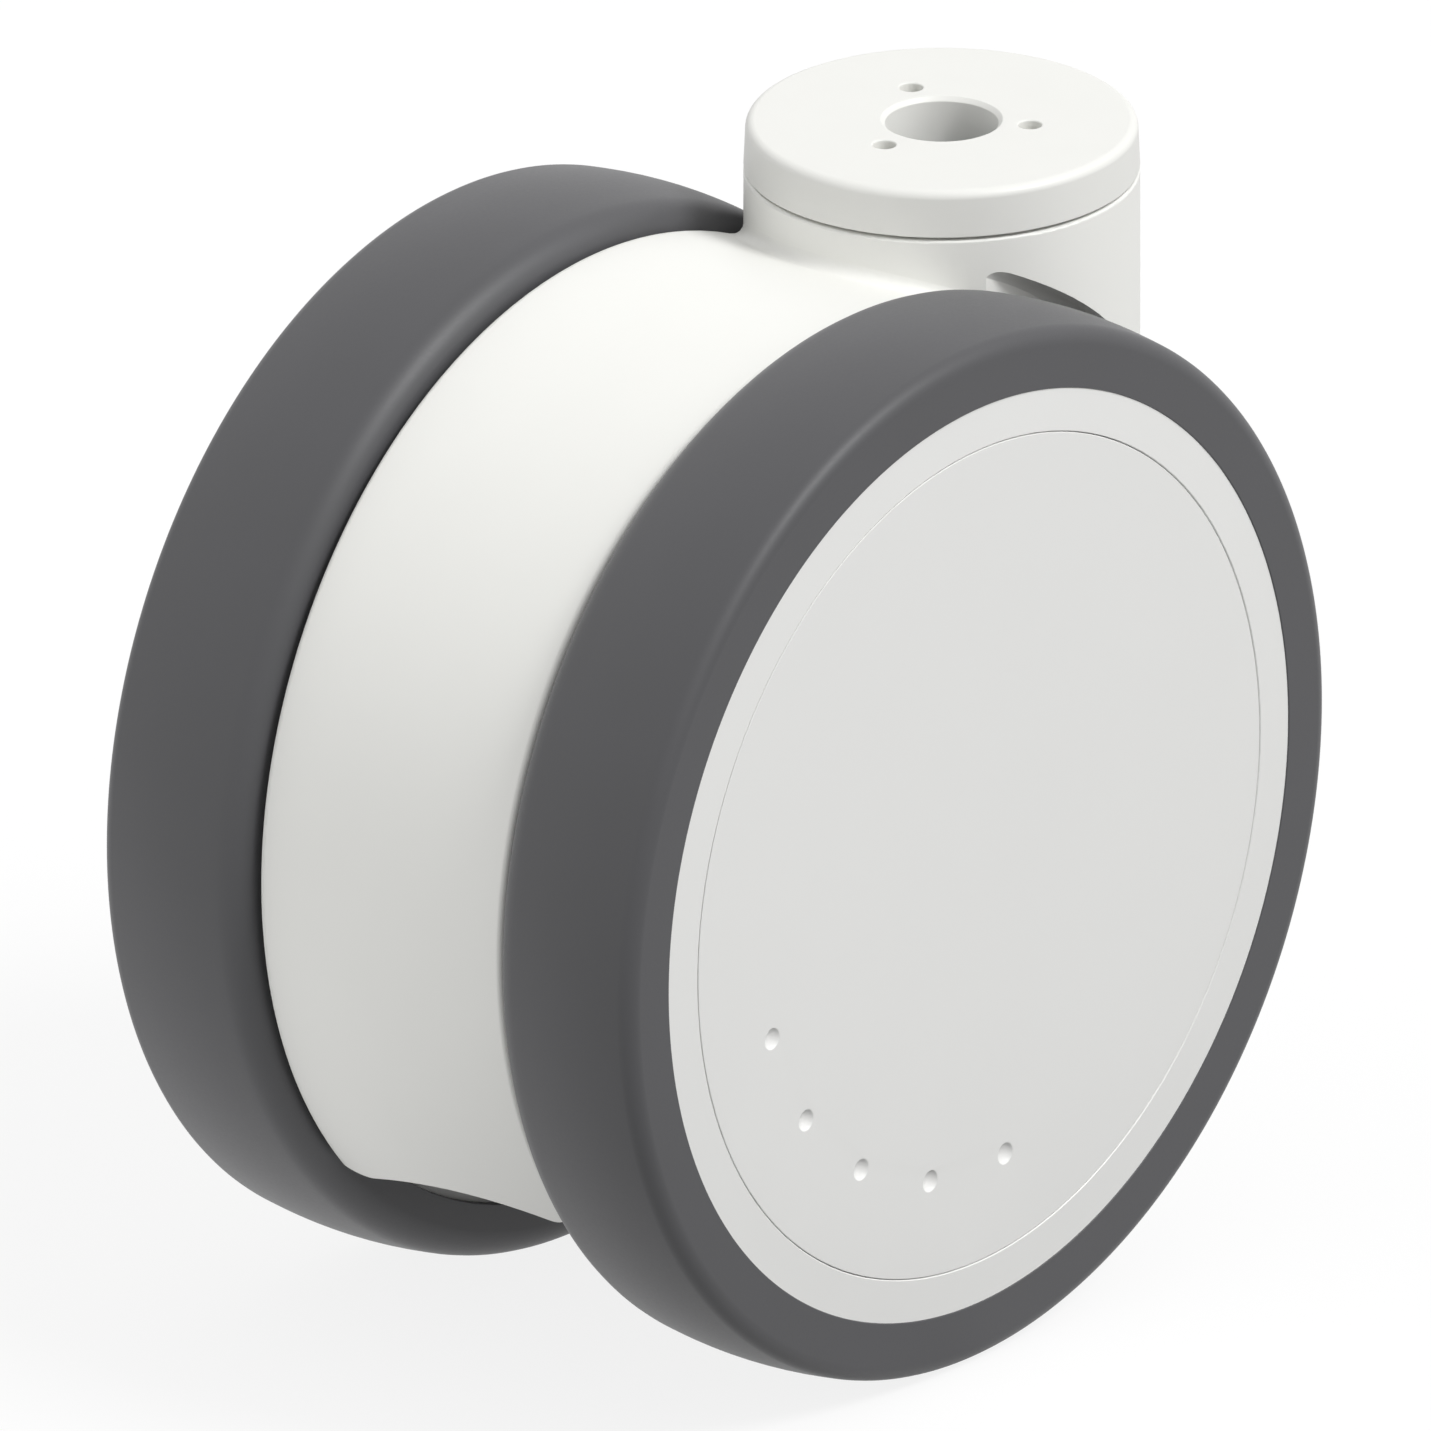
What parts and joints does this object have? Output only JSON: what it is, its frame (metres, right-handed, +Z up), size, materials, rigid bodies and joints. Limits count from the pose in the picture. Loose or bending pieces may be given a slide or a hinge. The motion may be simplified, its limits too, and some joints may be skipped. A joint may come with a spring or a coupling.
{
  "type": "twin wheel caster",
  "caption": "Swivel caster with twin grey-tyred wheels on a white hooded housing and a round head with a plain bolt hole, for trolleys and movable furniture.",
  "frame": {"origin": "centre of the bolt hole on the head's top face", "axes": "+Z up along the swivel axis; the axle lies along Y and trails towards -X"},
  "size_m": [0.1262, 0.0792, 0.1312],
  "materials": {
    "white_moulding": "satin moulded nylon, white",
    "rim_moulding": "satin moulded nylon, very light grey",
    "cover_moulding": "fine eroded moulding texture, very light grey",
    "grey_tyre": "matt moulded polyurethane, neutral grey",
    "plated_steel": "turned steel, zinc plated",
    "ground_steel": "ground steel rod",
    "bearing_steel": "ground bearing steel",
    "polished_steel": "polished bearing balls",
    "spring_steel": "blackened spring steel",
    "cage_nylon": "natural nylon"
  },
  "bodies": {
    "head": {"head_disc": "white_moulding", "kingpin": "plated_steel", "bearing_spacer": "plated_steel", "kingpin_circlip": "spring_steel", "upper_bearing_inner_ring": "bearing_steel", "lower_bearing_inner_ring": "bearing_steel"},
    "fork": {"fork_housing": "white_moulding", "axle": "ground_steel", "upper_bearing_outer_ring": "bearing_steel", "lower_bearing_outer_ring": "bearing_steel", "left_axle_spacer": "plated_steel", "right_axle_spacer": "plated_steel", "left_axle_circlip": "spring_steel", "right_axle_circlip": "spring_steel", "left_wheel_bearing_inner_ring": "bearing_steel", "right_wheel_bearing_inner_ring": "bearing_steel"},
    "upper_swivel_cage": {"upper_bearing_balls": "polished_steel", "upper_bearing_cage": "cage_nylon"},
    "lower_swivel_cage": {"lower_bearing_balls": "polished_steel", "lower_bearing_cage": "cage_nylon"},
    "left_wheel": {"left_tyre": "grey_tyre", "left_wheel_centre": "rim_moulding", "left_wheel_cover": "cover_moulding", "left_wheel_bearing_outer_ring": "bearing_steel"},
    "left_wheel_cage": {"left_wheel_bearing_balls": "polished_steel", "left_wheel_bearing_cage": "cage_nylon"},
    "right_wheel": {"right_tyre": "grey_tyre", "right_wheel_centre": "rim_moulding", "right_wheel_cover": "cover_moulding", "right_wheel_bearing_outer_ring": "bearing_steel"},
    "right_wheel_cage": {"right_wheel_bearing_balls": "polished_steel", "right_wheel_bearing_cage": "cage_nylon"}
  },
  "joints": [
    {"name": "swivel", "type": "hinge", "parent": "head", "child": "fork", "pos_m": [0, 0, 0], "axis": [0, 0, 1], "continuous": true},
    {"name": "upper_swivel_cage_turn", "type": "hinge", "parent": "head", "child": "upper_swivel_cage", "pos_m": [0, 0, 0], "axis": [0, 0, 1], "continuous": true},
    {"name": "lower_swivel_cage_turn", "type": "hinge", "parent": "head", "child": "lower_swivel_cage", "pos_m": [0, 0, 0], "axis": [0, 0, 1], "continuous": true},
    {"name": "left_wheel_spin", "type": "hinge", "parent": "fork", "child": "left_wheel", "pos_m": [-0.0405, 0, -0.0682], "axis": [0, 1, 0], "continuous": true},
    {"name": "left_wheel_cage_turn", "type": "hinge", "parent": "fork", "child": "left_wheel_cage", "pos_m": [-0.0405, 0, -0.0682], "axis": [0, 1, 0], "continuous": true},
    {"name": "right_wheel_spin", "type": "hinge", "parent": "fork", "child": "right_wheel", "pos_m": [-0.0405, 0, -0.0682], "axis": [0, 1, 0], "continuous": true},
    {"name": "right_wheel_cage_turn", "type": "hinge", "parent": "fork", "child": "right_wheel_cage", "pos_m": [-0.0405, 0, -0.0682], "axis": [0, 1, 0], "continuous": true}
  ],
  "couplings": [
    {"joint": "upper_swivel_cage_turn", "follows": "swivel", "ratio": 0.58503},
    {"joint": "lower_swivel_cage_turn", "follows": "swivel", "ratio": 0.58503},
    {"joint": "left_wheel_cage_turn", "follows": "left_wheel_spin", "ratio": 0.61888},
    {"joint": "right_wheel_cage_turn", "follows": "right_wheel_spin", "ratio": 0.61888}
  ]
}
